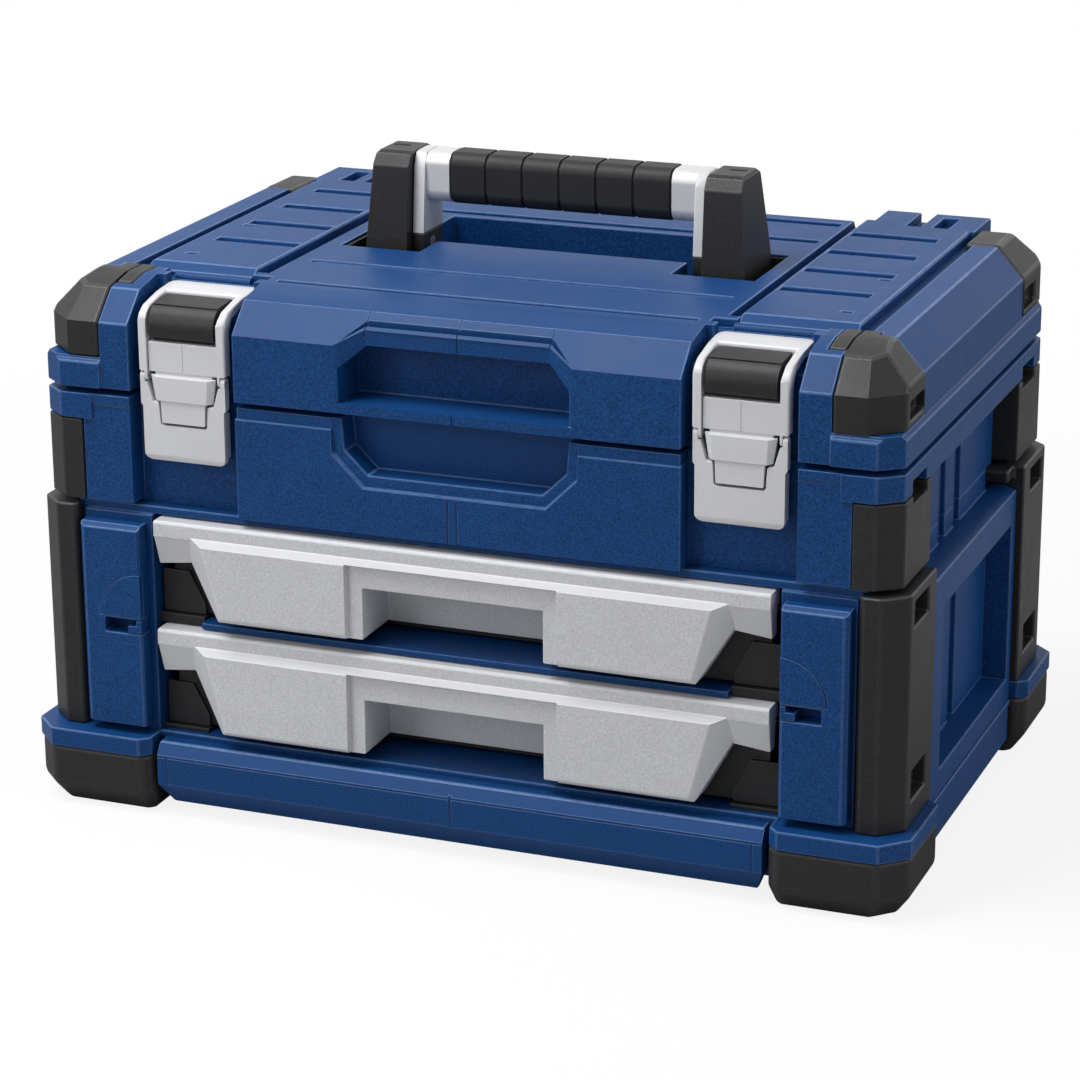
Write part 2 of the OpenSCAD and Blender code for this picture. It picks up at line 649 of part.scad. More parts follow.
module lid_cavity() {
  intersection() {
    run_x(-case_hw, case_hw) polygon([
      [-case_hd + 30.5, z_lid - 1], [-case_hd + 30.5, z_lid + 26], [-case_hd + 50.5, z_lid + 35],
      [-case_hd + 50.5, z_lid_top - lid_top_t], [case_hd - 18.5, z_lid_top - lid_top_t],
      [case_hd - 6, z_lid + 36], [case_hd - 6, z_lid - 1]
    ]);
    run_y(-case_hd, case_hd) polygon([
      [-cavity_hw, z_lid - 1], [cavity_hw, z_lid - 1], [cavity_hw, z_lid + 32],
        [cavity_hw - 14, z_lid_top - lid_top_t],
      [-cavity_hw + 14, z_lid_top - lid_top_t], [-cavity_hw, z_lid + 32]
    ]);
  }
}
module ladder() {
  edge_y = [-case_hd + 55.5, case_hd - 13.5];
  intersection() {
    run_y(edge_y[0] - 9, hinge_y + 6.5) polygon([
      [ladder_x[0], z_lid_top - 5], [ladder_x[1], z_lid_top - 5], [ladder_x[1], z_ladder - 0.8],
      [ladder_x[1] - 1, z_ladder], [ladder_x[0] + 1, z_ladder], [ladder_x[0], z_ladder - 0.8]
    ]);
    run_x(ladder_x[0] - 1, ladder_x[1] + 1) polygon([
      [edge_y[0] - 6, z_lid_top - 5], [edge_y[0] - 6, z_lid_top - 2], [edge_y[0], z_ladder],
      [edge_y[1], z_ladder], [edge_y[1], z_lid_top - 5]
    ]);
  }
}
module hinge_strap() {
  // the ladder panel runs on over the rear edge and down to the hinge
  y1 = hinge_y + 6.2;
  run_x(hinge_x[0], lid_bumper_x - 0.3) polygon([
    [case_hd - 22.5, z_lid_top - 5], [case_hd - 22.5, z_ladder], [y1 - 1, z_ladder], [y1, z_ladder - 1],
    [y1, hinge_z + 8.5], [case_hd - 6, hinge_z + 8.5], [case_hd - 6, z_lid_top - 5]
  ]);
  pin_x(knuckle[0] + 0.3, knuckle[1] - 0.3, hinge_y, hinge_z, hinge_r);
  run_x(knuckle[0] + 0.3, knuckle[1] - 0.3) polygon([
    [hinge_y - 3, hinge_z + 2], [hinge_y + 6, hinge_z + 1], [hinge_y + 6.2, hinge_z + 9],
      [hinge_y - 3, hinge_z + 9]
  ]);
}
module ladder_cuts() {
  slot = [ladder_x[0] + 2.5, ladder_x[1] - 10.5];
  for (i = [0 : ladder_slots - 1])
    bar(slot, [-33 + i * ladder_pitch, -25 + i * ladder_pitch], [z_ladder - 2.6, z_ladder + 1]);
  for (y = [-63, 1]) bar([ladder_x[1] - 15, ladder_x[1] - 10], [y, y + 3], [z_ladder - 2.6, z_ladder + 1]);
  // openings at the rear of the strap
  mid = (ladder_x[0] + ladder_x[1]) / 2;
  bar([mid - 5.5, mid + 2.5], [case_hd - 19.5, case_hd + 25], [z_ladder - 5, z_ladder + 1]);
  bar([mid + 8.5, mid + 16.5], [case_hd - 19.5, case_hd + 3.5], [z_ladder - 5, z_ladder + 1]);
}
module latch_pocket() {
  x = [latch_x - pocket_hw, latch_x + pocket_hw];
  bar(x, [-case_hd - 9, -pad_wall], [z_lid - 1, z_ladder + 5]);
  bar(x, [-case_hd - 9, link_y - 4.2], [link_z - 7.2, z_ladder + 5]);
  // groove that the link's top bar turns in
  bar([latch_x - link_w / 2 - 0.5, latch_x + link_w / 2 + 0.5], [link_y - 5.5, link_y + 4.4],
    [link_z - 4.6, z_ladder + 5]);
  bar(x, [link_y + 3, link_y + 9.2], [z_lid_top - 4.4, z_ladder + 5]);
}
module lid_front_hollow() {
  z0 = z_lid + 4.8;
  rim_z = [z0 + 28, z0 + 34.8];
  rim_hw = 46.1;
  face_y = -wall_y + 7.6;
  run_y(-case_hd - 9, -case_hd + 25.5) polygon([
    [-recess_hw + 1.9, z0], [recess_hw - 1.9, z0], [recess_hw - 1.9, z0 + 17],
    [45.6, z0 + 27.3], [-45.6, z0 + 27.3], [-recess_hw + 1.9, z0 + 17]
  ]);
  // frame round the hollow; its slanted ends start at the lower edge of the chamfer
  intersection() {
    run_y(-case_hd - 9, 0) polygon([
      [-recess_hw, z0], [recess_hw, z0], [recess_hw, rim_z[0]],
      [rim_hw, rim_z[1]], [-rim_hw, rim_z[1]], [-recess_hw, rim_z[0]]
    ]);
    run_z(z0 - 1, z_ladder) polygon([
      [-recess_hw, -case_hd - 9], [recess_hw, -case_hd - 9], [recess_hw, -wall_y],
      [rim_hw, face_y], [-rim_hw, face_y], [-recess_hw, -wall_y]
    ]);
  }
  // groove behind the frame's rim
  intersection() {
    run_z(z0, z_ladder) polygon([
      [-recess_hw + 2, -wall_y + 1.8], [-rim_hw, face_y + 1], [rim_hw, face_y + 1],
      [recess_hw - 2, -wall_y + 1.8], [rim_hw, face_y + 3.4], [-rim_hw, face_y + 3.4]
    ]);
    run_y(-case_hd, 0) polygon([
      [-recess_hw, rim_z[0] - 2], [-rim_hw, rim_z[1] - 2.5], [rim_hw, rim_z[1] - 2.5],
      [recess_hw, rim_z[0] - 2], [recess_hw, z_ladder], [-recess_hw, z_ladder]
    ]);
  }
  // parting lines over the rim and the chamfer
  bar([-0.3, 0.3], [face_y - 1, face_y + 0.5], [z0 + 26, rim_z[1] + 1]);
  difference() {
    for (x = [-rim_hw, 0, rim_hw]) bar([x - 0.3, x + 0.3], [-case_hd, -wall_y + 15],
      [rim_z[1] - 1, z_lid_top]);
    lid_form(0.5);
  }
}
module lid_shell() {
  color(blue) difference() {
    union() {
      difference() {
        lid_form(0);
        lid_bumper_zone(0);
        lid_cavity();
        // side channel, centre channels and cross grooves
        for (s = [-1, 1]) side(s) {
          bar([ladder_x[1], ladder_x[1] + 7], [link_y + 7.2, case_hd + 15], [z_lid_top - 4, z_ladder + 1]);
          bar([ladder_x[0] - 6, ladder_x[0]], [link_y + 15.2, case_hd + 15], [z_lid_top - 4.5, z_ladder + 1]);
          bar([ladder_x[0] - eps, ladder_x[1] + eps], [link_y + 9.2, case_hd + 15],
            [z_lid_top - 4, z_ladder + 1]);
        }
        groove_hw = panel_hw - 6;
        bar([-groove_hw, groove_hw], [link_y + 1.2, link_y + 4.7], [z_lid_top - 2.5, z_ladder + 1]);
        bar([-groove_hw - 2, groove_hw + 2], [-52, -47.5], [z_lid_top - 1.6, z_ladder + 1]);
        bar([-groove_hw - 7, groove_hw + 7], [well_y[1] + 6, well_y[1] + 12], [z_lid_top - 4, z_ladder + 1]);
        bar([-groove_hw - 7, groove_hw + 7], [case_hd - 27.5, case_hd - 20.5], [z_lid_top - 4, z_ladder + 1]);
        flip_x() latch_pocket();
      }
      intersection() {
        lid_form(bumper_t);
        lid_bumper_zone(0);
        difference() {
          bar([-case_hw - 9, case_hw + 9], [-case_hd - 9, case_hd + 9], [z_lid, z_ladder]);
          lid_cavity();
        }
      }
      // walls of the handle well, the post sockets and the front hollow, under the top
      bar([-well_x - 2.5, well_x + 2.5], [-3, well_y[1] + 2.5], [well_floor - 3, z_lid_top - 4]);
      flip_x() bar([post_x[0] - 2.5, post_x[1] + 2.5], [post_y[0] - 2.5, post_y[1] + 2.5],
        [well_floor - 3, z_lid_top - 4]);
      flip_x() ladder();
      flip_x() hinge_strap();
      // rounded bar behind each link's top bar
      flip_x() pin_x(latch_x - 17, latch_x + 23, link_y + 7.3, z_lid_top - 3.6, 2.4);
    }
    // handle well and post sockets
    bar([-well_x, well_x], well_y, [well_floor, z_ladder + 1]);
    flip_x() {
      bar([post_x[0], well_x], [-2, well_y[0] + 1], [well_floor, z_ladder + 1]);
      bar([well_x - 1, post_x[1]], post_y, [well_floor, z_ladder + 1]);
      bar([post_x[0], post_x[1]], [post_y[0], 0], [well_floor, z_ladder + 1]);
      ladder_cuts();
      pin_x(hinge_x[0] - 1, hinge_x[1] + 1, hinge_y, hinge_z, hinge_pin_r + pin_fit);
      // room for the case's knuckles
      for (x = [[hinge_x[0] - 0.4, knuckle[0] + 0.3], [knuckle[1] - 0.3, hinge_x[1] + 0.4]])
        pin_x(x[0], x[1], hinge_y, hinge_z, hinge_r + 0.6);
      pin_x(latch_x - pocket_hw - 3, latch_x + pocket_hw + 3, link_y, link_z, link_pin_r + pin_fit);
      for (y = post_screw_y) translate([post_mid, y, well_floor - 4])
        cylinder(h = 5, r = screw_r + pin_fit, $fn = 24);
    }
    lid_front_hollow();
    // the flange stops at the corner blocks
    bar([-lid_bumper_x + 0.3, lid_bumper_x - 0.3], [-case_hd - 9, -wall_y],
      [z_lid - 1, z_lid + lid_flange + 3]);
    // parting line down the middle of the rear half, and along the front panel
    bar([-0.4, 0.4], [-wall_y - 1, -wall_y + 0.5], [z_lid - 1, z_lid + 4.8]);
  }
}
module bumper_corner() {
  // facet over a front bumper's corner: upright below, leaning in above
  facet_z = chamfer_z - 0.5;
  rise = z_ladder + 9 - facet_z;
  translate([case_hw - 8.8, -case_hd + 7.7, 0]) rotate([0, 0, 42.2]) run_x(-40, 40) polygon([
    [0, z_lid], [-40, z_lid], [-40, facet_z + rise], [0.9 * rise, facet_z + rise], [0, facet_z]
  ]);
}
module lid_bumper(front) color(black) difference() {
  intersection() {
    union() {
      depth(front ? 1 : -1)
        bar([lid_bumper_x + 0.3, case_hw + 9], [-case_hd - 9, -lid_bumper_y - 0.3],
          [z_lid + lid_flange + 2.9, z_ladder]);
      if (front) bar([lid_bumper_top + 0.3, lid_bumper_x + 9], [tongue_y[0] + 0.3, tongue_y[1] - 0.3],
        [z_lid_top - bumper_t + 0.3, z_ladder]);
    }
    lid_form(-0.5);
  }
  lid_form(bumper_t);
  if (front) bumper_corner();
  // groove that sets the tongue apart from the corner block
  if (front) difference() {
    bar([lid_bumper_x - 0.4, lid_bumper_x + 0.7], [tongue_y[0], tongue_y[1]], [z_lid, z_ladder + 1]);
    lid_form(1.8);
  }
  depth(front ? 1 : -1) bar([lid_side - slot_deep + 2.5, case_hw + 9],
    [-lid_bumper_y - 24, -lid_bumper_y - 1],
    [z_lid + lid_flange + 6, z_lid + lid_flange + 15.5]);
}

// ---- latch: the base and the pad are fixed to the lid
link_pin_r = 1.2;
eye_y = -case_hd + 5.4;
// level of the joint line across the arms; the pins of the lever sit just below it
seam_z = z_lid + 10.3;
eye_r = link_t / 2;
eye_z = seam_z - eye_r;
strike_z = seam_z - lever_drop + 7.5;
arm_in = link_w / 2 - link_arm;
inner_eye = 1.3;
lever_hw = 22.4;
tongue_foot = seam_z - 24.6;
module latch_base() {
  hw = arm_in - 0.4;
  z = [seam_z - 0.1, seam_z + 14.9];
  plate_z = [seam_z - 13.5, seam_z - 1.3];
  color(grey) union() {
    difference() {
      run_x(latch_x - hw, latch_x + hw) polygon([
        [-pad_wall, z[0]], [eye_y - 0.4, z[0]], [eye_y - 0.9, z[0] + 0.6],
        [eye_y - 0.9, z[1] - 0.6], [eye_y - 0.4, z[1]], [-pad_wall, z[1]]
      ]);
      bar([latch_x - 0.2, latch_x + 0.2], [eye_y - 2, eye_y - 0.6], [z[0] - 1, z[1] + 1]);
    }
    // tapered plate with a slanted facet at each side, and the tongue below it, in front of the seam
    hull() {
      run_y(eye_y - 0.9, eye_y + 0.1)
        polygon(mirrored([[15.2, plate_z[0]], [17.2, plate_z[1]]], latch_x));
      run_y(eye_y - 3.4, eye_y - 2.4)
        polygon(mirrored([[13, plate_z[0]], [13.5, plate_z[1] - 0.4]], latch_x));
    }
    run_y(eye_y - 2.6, eye_y + 0.1)
      polygon(mirrored([[11.3, tongue_foot], [11.9, plate_z[0] + 1]], latch_x));
    run_y(eye_y - 0.4, -pad_wall - 4.5)
      polygon(mirrored([[15, seam_z - 12], [15, seam_z + 0.4]], latch_x));
  }
}
module latch_pad() color(black)
  run_x(latch_x - arm_in + 1.6, latch_x + arm_in - 1.6) polygon(concat(
    [[-pad_wall, seam_z + 15.3], [eye_y + 1.5, seam_z + 15.3], [eye_y + 1.5, seam_z + 16.9],
      [eye_y - 1.9, seam_z + 16.9]],
    arc(eye_y + 8.8, seam_z + 22, 11, 180, 118, 7),
    [
      [eye_y + 3.4, z_lid_top - 7.5], [eye_y + 7.1, z_lid_top - 7.2], [eye_y + 19.9, z_lid_top - 6.4],
      [eye_y + 20.9, z_lid_top - 7.4], [eye_y + 20.9, link_z - 7.2], [-pad_wall, link_z - 7.2]
    ]
  ));
module link_pins() color(steel) flip_x()
  pin_x(latch_x - pocket_hw - 2.5, latch_x + pocket_hw + 2.5, link_y, link_z, link_pin_r);

// the joint at the end of an arm: the link has the thin inner eye, the lever the broad outer one
function eye_x(s, inner) = inner
  ? [latch_x + (s > 0 ? arm_in : -arm_in - inner_eye), latch_x + (s > 0 ? arm_in + inner_eye : -arm_in)]
  : [latch_x + (s > 0 ? arm_in + inner_eye + 0.15 : -lever_hw),
    latch_x + (s > 0 ? lever_hw : -arm_in - inner_eye - 0.15)];
module eye(s, inner, z0, z1) {
  x = eye_x(s, inner);
  pin_x(x[0], x[1], eye_y, eye_z, eye_r);
  bar(x, [eye_y - eye_r, eye_y + eye_r], [z0, z1]);
}
link_depth = 6.6;
bar_front = link_y - 12.1;
bar_rear = link_y + 3.2;
module link_frame() {
  front = eye_y - eye_r;
  hw = link_w / 2;
  low = link_z - 2.3;
  path = [
    [front, seam_z + 0.4], [front, seam_z + 25.4], [front + 1.8, seam_z + 28.6], [front + 6.2, seam_z + 31.6],
    [front + 18.4, seam_z + 34.3], [link_y - 2, z_lid_top - 4.4], [bar_rear, z_lid_top - 4.4],
      [bar_rear, low],
    [bar_front, low], [front + 9.6, seam_z + 27], [front + link_depth, seam_z + 22],
      [front + link_depth, seam_z + 0.4]
  ];
  color(grey) difference() {
    intersection() {
      union() {
        for (x = [latch_x - hw, latch_x + hw - link_arm]) run_x(x, x + link_arm) polygon(path);
        // top bar, level with the arms
        intersection() {
          run_x(latch_x - hw, latch_x + hw) polygon(path);
          bar([latch_x - hw, latch_x + hw], [bar_front, bar_rear], [low, z_lid_top]);
        }
        for (s = [-1, 1]) eye(s, true, eye_z, seam_z + 0.6);
      }
      run_z(eye_z - 9, z_lid_top)
        polygon(mirrored(concat([[hw, -case_hd - 9]], arc(hw - 4, bar_rear - 4, 4, 0, 90)), latch_x));
    }
    pin_x(latch_x - 40, latch_x + 40, link_y, link_z, link_pin_r + pin_fit);
    pin_x(latch_x - 40, latch_x + 40, eye_y, eye_z, 1 + pin_fit);
  }
}
module lever_pins() color(steel) for (s = [-1, 1])
  pin_x(latch_x + (s > 0 ? arm_in + 0.3 : -lever_hw + 0.3),
    latch_x + (s > 0 ? lever_hw - 0.3 : -arm_in - 0.3),
    eye_y, eye_z, 1);

module latch_lever() {
  z_low = seam_z - lever_drop;
  z_ear = eye_z - 2.7;
  hw_low = 21.4;
  corner_r = 3.8;
  notch_r = 1.8;
  notch_foot = tongue_foot - 1.4;
  face = concat(
    arc(hw_low - corner_r, z_low + corner_r, corner_r, -90, 0),
    [
      [hw_low, seam_z - 17], [lever_hw, seam_z - 15.6], [lever_hw, z_ear], [18.7, z_ear],
      [15.9, seam_z - 14.6], [12.9, seam_z - 14.6]
    ],
    arc(12.4 - notch_r, notch_foot + notch_r, notch_r, 0, -90)
  );
  front = eye_y - eye_r + 0.1;
  color(grey) difference() {
    union() {
      intersection() {
        run_y(front - 1, eye_y + 5.5) polygon(mirrored(face, latch_x));
        run_x(latch_x - 30, latch_x + 30) polygon([
          [front, z_low + 3], [front + 1.2, z_low], [eye_y + 2.3, z_low], [eye_y + 2.3, z_ear], [front, z_ear]
        ]);
      }
      // side flanges that stiffen the lever
      for (s = [-1, 1]) translate([latch_x + s * (hw_low - 1), 0, 0])
        bar([-1, 1], [eye_y, eye_y + 5], [z_low + corner_r, seam_z - 18]);
      for (s = [-1, 1]) eye(s, false, z_ear - 0.1, eye_z);
      // hook behind the plate
      run_x(latch_x - 8, latch_x + 8) polygon([
        [eye_y + 2.1, z_low + 4], [eye_y + 4.7, z_low + 4.5], [eye_y + 4.7, z_low + 7],
          [eye_y + 2.1, z_low + 8]
      ]);
    }
    pin_x(latch_x - 40, latch_x + 40, eye_y, eye_z, 1 + pin_fit);
  }
}

// ---- carry handle
grip_z = z_handle - grip_sz / 2;
arm_box = [leg_x[0] - 11, leg_x[1] + 4];
module soft_bar(hy, hz, r) {
  square([2 * hy, 2 * (hz - r)], center = true);
  square([2 * (hy - r), 2 * hz], center = true);
  for (a = [-1, 1], b = [-1, 1]) translate([a * (hy - r), b * (hz - r)]) circle(r = r, $fn = 32);
}
module grip_run(x0, x1, shrink) translate([0, grip_y, grip_z]) run_x(x0, x1)
  soft_bar(grip_sy / 2 - shrink, grip_sz / 2 - shrink, 6.5);

module handle_grip() {
  pitch = 2 * grip_hl / (grip_rings + 1);
  color(black) difference() {
    union() {
      grip_run(-grip_hl, grip_hl, 1.1);
      for (i = [0 : grip_rings]) grip_run(-grip_hl + i * pitch + 0.8, -grip_hl + (i + 1) * pitch - 0.8, 0);
    }
    pin_x(-grip_hl - 1, grip_hl + 1, grip_y, grip_z, core_r + pin_fit);
  }
}
module handle_core() color(steel) difference() {
  pin_x(-leg_x[0] - 2, leg_x[0] + 2, grip_y, grip_z, core_r);
  pin_x(-leg_x[0] - 3, leg_x[0] + 3, grip_y, grip_z, core_r - 1.5);
}
elbow_z = z_lid_top + 4.5;
module leg_plan() polygon([
  [leg_x[0], elbow_z - 30], [leg_x[1], elbow_z - 30], [leg_x[1], z_handle - 1], [leg_x[1] - 1, z_handle],
    [leg_x[0], z_handle]
]);
module handle_elbow() color(silver) difference() {
  union() {
    intersection() {
      run_y(-10, 40) leg_plan();
      run_x(arm_box[0], arm_box[1]) polygon([
        [pivot_y - 12, elbow_z], [grip_y - grip_sy / 2 - 1, z_handle - 8],
          [grip_y - grip_sy / 2 + 2, z_handle - 1],
        [grip_y - 6, z_handle], [grip_y + 4, z_handle], [grip_y + grip_sy / 2 + 1, z_handle - 7],
          [pivot_y + 12.5, elbow_z]
      ]);
    }
    grip_run(grip_hl + 0.3, leg_x[0] + 1, 0.3);
  }
  pin_x(grip_hl, leg_x[0] + 2.05, grip_y, grip_z, core_r + pin_fit);
}
module handle_knuckles() color(black) flip_x() difference() {
  intersection() {
    run_y(-10, 40) leg_plan();
    union() {
      pin_x(arm_box[0], arm_box[1], pivot_y, pivot_z, 12);
      bar(arm_box, [pivot_y - 12, pivot_y + 12], [pivot_z, elbow_z]);
    }
    bar(arm_box, [-10, 40], [0, elbow_z]);
  }
  pin_x(arm_box[0], arm_box[1], pivot_y, pivot_z, pivot_r);
}
module handle_pivot_pins() color(steel) flip_x() pin_x(leg_x[0], post_mid + 4, pivot_y, pivot_z, pivot_r);

module handle_post() color(black) difference() {
  intersection() {
    run_y(-20, 60) polygon([
      [post_in, well_floor + 1.6], [post_mid + 11.1, well_floor + 1.6], [post_mid + 11.1, z_lid_top - 3],
      [post_mid + 7.5, z_handle - 2], [post_mid + 6, z_handle], [post_in + 1, z_handle],
        [post_in, z_handle - 1]
    ]);
    run_x(post_in - 5, post_mid + 15) polygon([
      [-4.6, well_floor + 1.6], [-4.6, z_lid_top - 3], [-1, z_handle - 7], [3, z_handle - 1.5], [6, z_handle],
      [26, z_handle], [30, z_handle - 3], [38, z_lid_top + 3], [38, well_floor + 1.6]
    ]);
  }
  pin_x(post_in - 5, post_mid + 4.5, pivot_y, pivot_z, pivot_r + pin_fit);
  bar([post_mid - 4.5, post_mid + 4.5], [16.5, 19.5], [z_handle - 3, z_handle + 1]);
  for (y = post_screw_y) translate([post_mid, y, well_floor]) cylinder(h = 12, r = screw_r, $fn = 24);
}
module handle_sockets() color(black) flip_x() difference() {
  bar([post_x[0] + 14, post_x[1]], post_y, [well_floor, z_lid_top - 1.5]);
  bar([post_x[0] + 13, post_x[1] - 1.6], [post_y[0] + 1.6, post_y[1] - 1.6], [well_floor + 1.6, z_lid_top]);
  for (y = post_screw_y) translate([post_mid, y, well_floor - 1])
    cylinder(h = 5, r = screw_r + pin_fit, $fn = 24);
}
module post_screws() color(steel) flip_x() for (y = post_screw_y) {
  translate([post_mid, y, well_floor - 3]) cylinder(h = 14, r = screw_r, $fn = 24);
  translate([post_mid, y, well_floor - 5]) cylinder(h = 2, r = screw_r * 2.2, $fn = 24);
}

// ---- the parts, one line each
base_pan();
front_rail();
housing_shell();
divider_shelf();
rear_panel();
rear_panel_screws();
side(-1) foot();  // foot_front_left
foot();  // foot_front_right
depth(-1) side(-1) foot();  // foot_rear_left
depth(-1) foot();  // foot_rear_right
side(-1) column(false);  // column_front_left
column(false);  // column_front_right
depth(-1) side(-1) column(true);  // column_rear_left
depth(-1) column(true);  // column_rear_right
side(-1) pillar();  // pillar_left
pillar();  // pillar_right
lock_sectors();
side(-1) lock_tab();  // lock_tab_left
lock_tab();  // lock_tab_right
drawer_runners();
upper_body();
side(-1) body_bumper(core_front);  // body_bumper_front_left
body_bumper(core_front);  // body_bumper_front_right
depth(-1) side(-1) body_bumper(core_back);  // body_bumper_rear_left
depth(-1) body_bumper(core_back);  // body_bumper_rear_right
latch_strikes();
hinge_pins();
lid_shell();
side(-1) lid_bumper(true);  // lid_bumper_front_left
lid_bumper(true);  // lid_bumper_front_right
side(-1) lid_bumper(false);  // lid_bumper_rear_left
lid_bumper(false);  // lid_bumper_rear_right
side(-1) latch_base();  // latch_base_left
latch_base();  // latch_base_right
side(-1) latch_pad();  // latch_pad_left
latch_pad();  // latch_pad_right
link_pins();
side(-1) handle_post();  // handle_post_left
handle_post();  // handle_post_right
handle_sockets();
post_screws();
handle_grip();
handle_core();
side(-1) handle_elbow();  // handle_elbow_left
handle_elbow();  // handle_elbow_right
handle_knuckles();
handle_pivot_pins();
side(-1) link_frame();  // link_frame_left
link_frame();  // link_frame_right
side(-1) lever_pins();  // lever_pins_left
lever_pins();  // lever_pins_right
side(-1) latch_lever();  // latch_lever_left
latch_lever();  // latch_lever_right
tray(z_up_front, front_h);  // tray_upper
drawer_front(z_up_front, front_h);  // front_upper
tray(z_low_front, low_front_h);  // tray_lower
drawer_front(z_low_front, low_front_h);  // front_lower
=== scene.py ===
# Portable tool box with two drawers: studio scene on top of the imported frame.
# Metres, X to the right, front towards -Y, Z up.
import json
import math

import bmesh
import bpy
import numpy as np
from mathutils import Matrix, Vector
from mathutils.bvhtree import BVHTree
from mathutils.kdtree import KDTree


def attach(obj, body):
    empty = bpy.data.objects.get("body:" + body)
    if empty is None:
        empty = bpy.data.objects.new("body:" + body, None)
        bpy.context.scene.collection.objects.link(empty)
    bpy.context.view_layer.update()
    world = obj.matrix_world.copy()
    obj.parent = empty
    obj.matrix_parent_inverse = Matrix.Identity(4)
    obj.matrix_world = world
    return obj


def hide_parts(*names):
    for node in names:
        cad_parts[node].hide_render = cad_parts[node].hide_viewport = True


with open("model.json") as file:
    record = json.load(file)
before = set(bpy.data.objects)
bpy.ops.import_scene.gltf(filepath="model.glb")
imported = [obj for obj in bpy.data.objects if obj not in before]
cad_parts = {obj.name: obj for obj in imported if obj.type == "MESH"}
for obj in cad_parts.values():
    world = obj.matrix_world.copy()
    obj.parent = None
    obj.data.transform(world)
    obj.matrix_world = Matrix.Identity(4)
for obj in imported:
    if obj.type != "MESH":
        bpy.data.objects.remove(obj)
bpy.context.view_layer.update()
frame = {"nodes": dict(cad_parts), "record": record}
nodes = frame["nodes"]
bodyOf = {}
for bodyName, members in frame["record"]["behaviour"]["bodies"].items():
    for member in members:
        bodyOf[member] = bodyName
scene = bpy.context.scene
scene.view_settings.view_transform = "Standard"
mm = 0.001
print("frame loaded with", len(nodes), "nodes")

# camera, at the photograph's viewing angle
photoCamera = {
    "turn": 21.45, "lift": 18.32, "roll": -0.35, "place": (0.60459, -1.5608, 0.67101), "lens": 116.51,
    "sensor": 36, "near": 0.05, "far": 50,
}


def placeCamera(spec):
    turn, lift, roll = (math.radians(spec[key]) for key in ("turn", "lift", "roll"))
    back = Vector((math.sin(turn) * math.cos(lift), -math.cos(turn) * math.cos(lift), math.sin(lift)))
    level = Vector((math.cos(turn), math.sin(turn), 0))
    rise = back.cross(level)
    right = level * math.cos(roll) + rise * math.sin(roll)
    up = rise * math.cos(roll) - level * math.sin(roll)
    camera = bpy.data.objects.new("photoCamera", bpy.data.cameras.new("photoCamera"))
    scene.collection.objects.link(camera)
    camera.data.lens = spec["lens"]
    camera.data.sensor_width = spec["sensor"]
    camera.data.clip_start, camera.data.clip_end = spec["near"], spec["far"]
    turned = Matrix((right, up, back)).transposed().to_4x4()
    camera.matrix_world = Matrix.Translation(spec["place"]) @ turned
    scene.camera = camera


placeCamera(photoCamera)


# shader maths written as Python expressions
class Wire:
    def __init__(self, finish, socket):
        self.finish = finish
        self.socket = socket

    def maths(self, operation, other, swapped=False):
        pair = (other, self) if swapped else (self, other)
        return self.finish.node("ShaderNodeMath", {"operation": operation}, {0: pair[0], 1: pair[1]})

    def __add__(self, other):
        return self.maths("ADD", other)

    def __radd__(self, other):
        return self.maths("ADD", other, True)

    def __sub__(self, other):
        return self.maths("SUBTRACT", other)

    def __rsub__(self, other):
        return self.maths("SUBTRACT", other, True)

    def __mul__(self, other):
        return self.maths("MULTIPLY", other)

    def __rmul__(self, other):
        return self.maths("MULTIPLY", other, True)

    def size(self):
        return self.finish.node("ShaderNodeMath", {"operation": "ABSOLUTE"}, {0: self})

    def ramp(self, low, high):
        # 0 at low, 1 at high, smooth between
        smooth = {"interpolation_type": "SMOOTHSTEP"}
        return self.finish.node("ShaderNodeMapRange", smooth, {0: self, 1: low, 2: high})


# a material and its nodes, with one method that makes any node
class Finish:
    def __init__(self, name):
        self.material = bpy.data.materials.new(name)
        self.material.use_nodes = True
        self.tree = self.material.node_tree
        self.shader = self.tree.nodes["Principled BSDF"]
        self.place = self.node("ShaderNodeTexCoord", out="Object")
        self.facing = self.node("ShaderNodeTexCoord", out="Normal")

    def node(self, kind, settings=None, values=None, out=0):
        made = self.tree.nodes.new(kind)
        for key, value in (settings or {}).items():
            setattr(made, key, value)
        self.feed(made, values or {})
        return Wire(self, made.outputs[out])

    def feed(self, made, values):
        for key, value in values.items():
            if isinstance(value, Wire):
                self.tree.links.new(value.socket, made.inputs[key])
            elif isinstance(value, tuple) and made.inputs[key].type == "RGBA":
                made.inputs[key].default_value = (*value, 1)
            else:
                made.inputs[key].default_value = value

    def noise(self, scale, detail, rough=0.5, place=None):
        values = {"Vector": place or self.place, "Scale": scale, "Detail": detail, "Roughness": rough}
        return self.node("ShaderNodeTexNoise", None, values)

    def edgeStrip(self):
        # 1 on the strips along rolled edges, 0 elsewhere
        return self.node("ShaderNodeAttribute", {"attribute_name": "edgeStrip"}, out="Fac")

    def mixed(self, amount, low, high):
        return self.node("ShaderNodeMix", {"data_type": "RGBA"}, {0: amount, 6: low, 7: high}, out=2)

    def axis(self, vector, letter):
        return self.node("ShaderNodeSeparateXYZ", None, {0: vector}, out=letter)

    def bump(self, height, depth):
        return self.node("ShaderNodeBump", None, {"Height": height, "Distance": depth, "Strength": 1.0})


def shaded(colour, factor):
    return tuple(min(1.0, channel * factor) for channel in colour)


